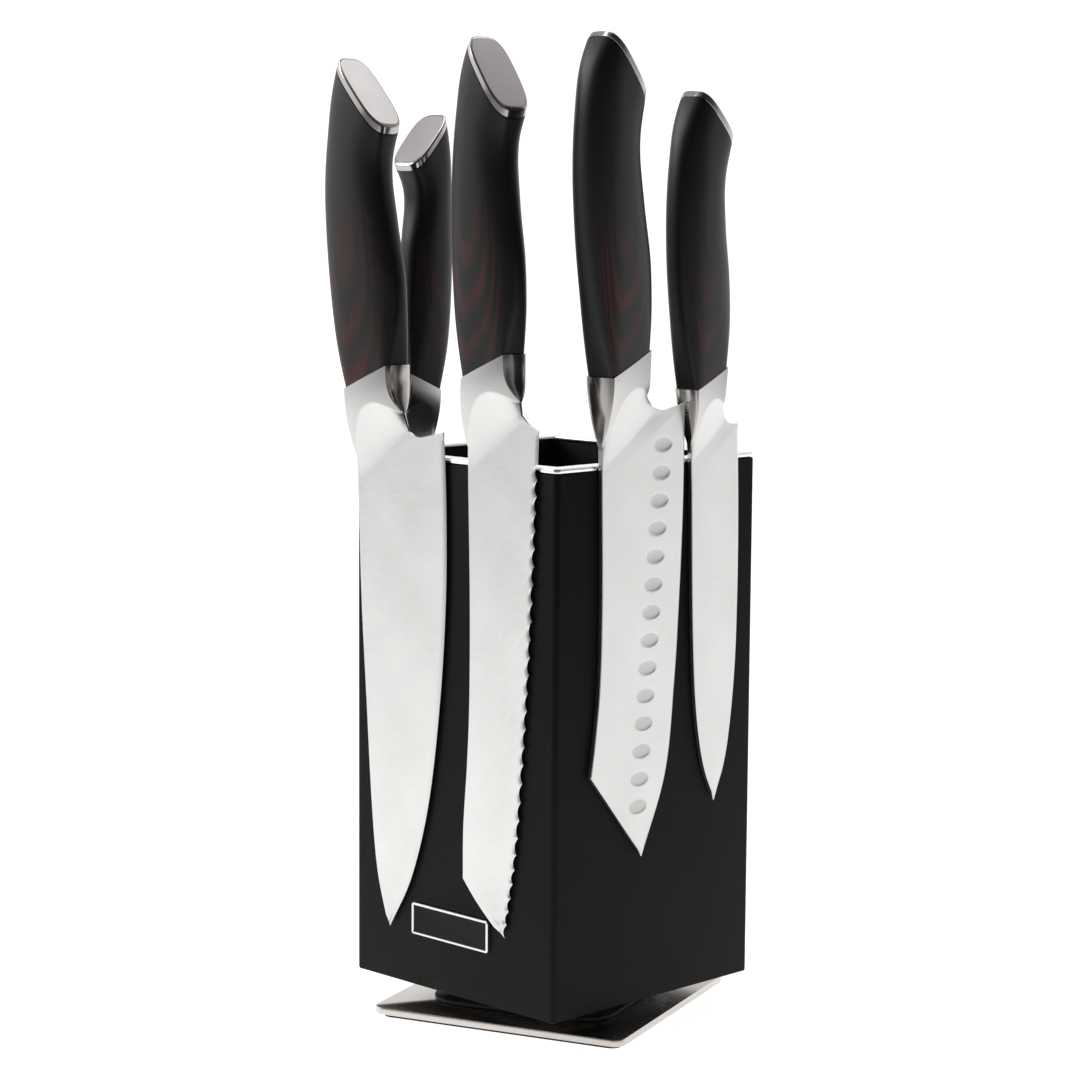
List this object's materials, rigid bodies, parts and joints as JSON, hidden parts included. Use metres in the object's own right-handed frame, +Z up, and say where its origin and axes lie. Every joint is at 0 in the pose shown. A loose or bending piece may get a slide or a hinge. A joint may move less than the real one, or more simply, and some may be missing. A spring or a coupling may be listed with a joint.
{
  "type": "knife block with knives",
  "caption": "Square magnetic knife block on a swivel base, with kitchen knives held flat on its outer faces and an open storage well inside.",
  "frame": {"origin": "on the swivel axis, at the underside of the non-slip pad, which is the surface the block stands on", "axes": "+Z up along the swivel axis, -Y out of the face with the badge, +X out of the face to its right; the base plate is turned 20 degrees about +Z"},
  "size_m": [0.1392, 0.1382, 0.3926],
  "materials": {
    "blade_steel": "satin ground blade with a polished bolster",
    "cap_steel": "brushed end face with polished sides",
    "handle_wood": "black laminated wood with dark red layers, satin gloss",
    "black_shell": "satin black moulded shell",
    "black_plastic": "fine matt moulded black",
    "rim_steel": "satin trim",
    "brushed_steel": "brushed, with bright edges",
    "polished_steel": "polished",
    "black_metal": "black zinc, semi-matt",
    "badge_metal": "black plate with a bright raised border",
    "brass": "stamped brass",
    "magnet": "bare sintered ferrite",
    "rubber": "matt non-slip rubber"
  },
  "bodies": {
    "base": {"non_slip_pad": "rubber", "base_plate": "brushed_steel", "swivel_lower_plate": "black_metal", "pivot_rivet": "brushed_steel", "base_screw_1": "black_metal", "base_screw_2": "black_metal", "base_screw_3": "black_metal", "base_screw_4": "black_metal"},
    "ball_ring": {"ball_cage": "brass", "ball_1": "polished_steel", "ball_2": "polished_steel", "ball_3": "polished_steel", "ball_4": "polished_steel", "ball_5": "polished_steel", "ball_6": "polished_steel", "ball_7": "polished_steel", "ball_8": "polished_steel"},
    "block": {"swivel_upper_plate": "black_metal", "block_screw_1": "black_metal", "block_screw_2": "black_metal", "block_screw_3": "black_metal", "block_screw_4": "black_metal", "bottom_panel": "black_plastic", "outer_shell": "black_shell", "inner_liner": "black_plastic", "top_rim": "rim_steel", "badge": "badge_metal", "magnet_front_a": "magnet", "magnet_front_b": "magnet", "magnet_right_a": "magnet", "magnet_right_b": "magnet", "magnet_back_a": "magnet", "magnet_back_b": "magnet", "magnet_left_a": "magnet", "magnet_left_b": "magnet"},
    "chef_knife": {"chef_blade": "blade_steel", "chef_handle": "handle_wood", "chef_end_cap": "cap_steel"},
    "bread_knife": {"bread_blade": "blade_steel", "bread_handle": "handle_wood", "bread_end_cap": "cap_steel"},
    "santoku_knife": {"santoku_blade": "blade_steel", "santoku_handle": "handle_wood", "santoku_end_cap": "cap_steel"},
    "utility_knife": {"utility_blade": "blade_steel", "utility_handle": "handle_wood", "utility_end_cap": "cap_steel"},
    "paring_knife": {"paring_blade": "blade_steel", "paring_handle": "handle_wood", "paring_end_cap": "cap_steel"}
  },
  "joints": [
    {"name": "block_swivel", "type": "hinge", "parent": "base", "child": "block", "pos_m": [0, 0, 0.0088], "axis": [0, 0, 1], "continuous": true},
    {"name": "ball_ring_turn", "type": "hinge", "parent": "base", "child": "ball_ring", "pos_m": [0, 0, 0.0088], "axis": [0, 0, 1], "continuous": true},
    {"name": "chef_pull", "type": "slide", "parent": "block", "child": "chef_knife", "axis": [0, -1, 0], "range_m": [0, 0.12]},
    {"name": "bread_pull", "type": "slide", "parent": "block", "child": "bread_knife", "axis": [0, -1, 0], "range_m": [0, 0.12]},
    {"name": "santoku_pull", "type": "slide", "parent": "block", "child": "santoku_knife", "axis": [1, 0, 0], "range_m": [0, 0.12]},
    {"name": "utility_pull", "type": "slide", "parent": "block", "child": "utility_knife", "axis": [1, 0, 0], "range_m": [0, 0.12]},
    {"name": "paring_pull", "type": "slide", "parent": "block", "child": "paring_knife", "axis": [-1, 0, 0], "range_m": [0, 0.12]}
  ],
  "couplings": [
    {"joint": "ball_ring_turn", "follows": "block_swivel", "ratio": 0.5}
  ]
}
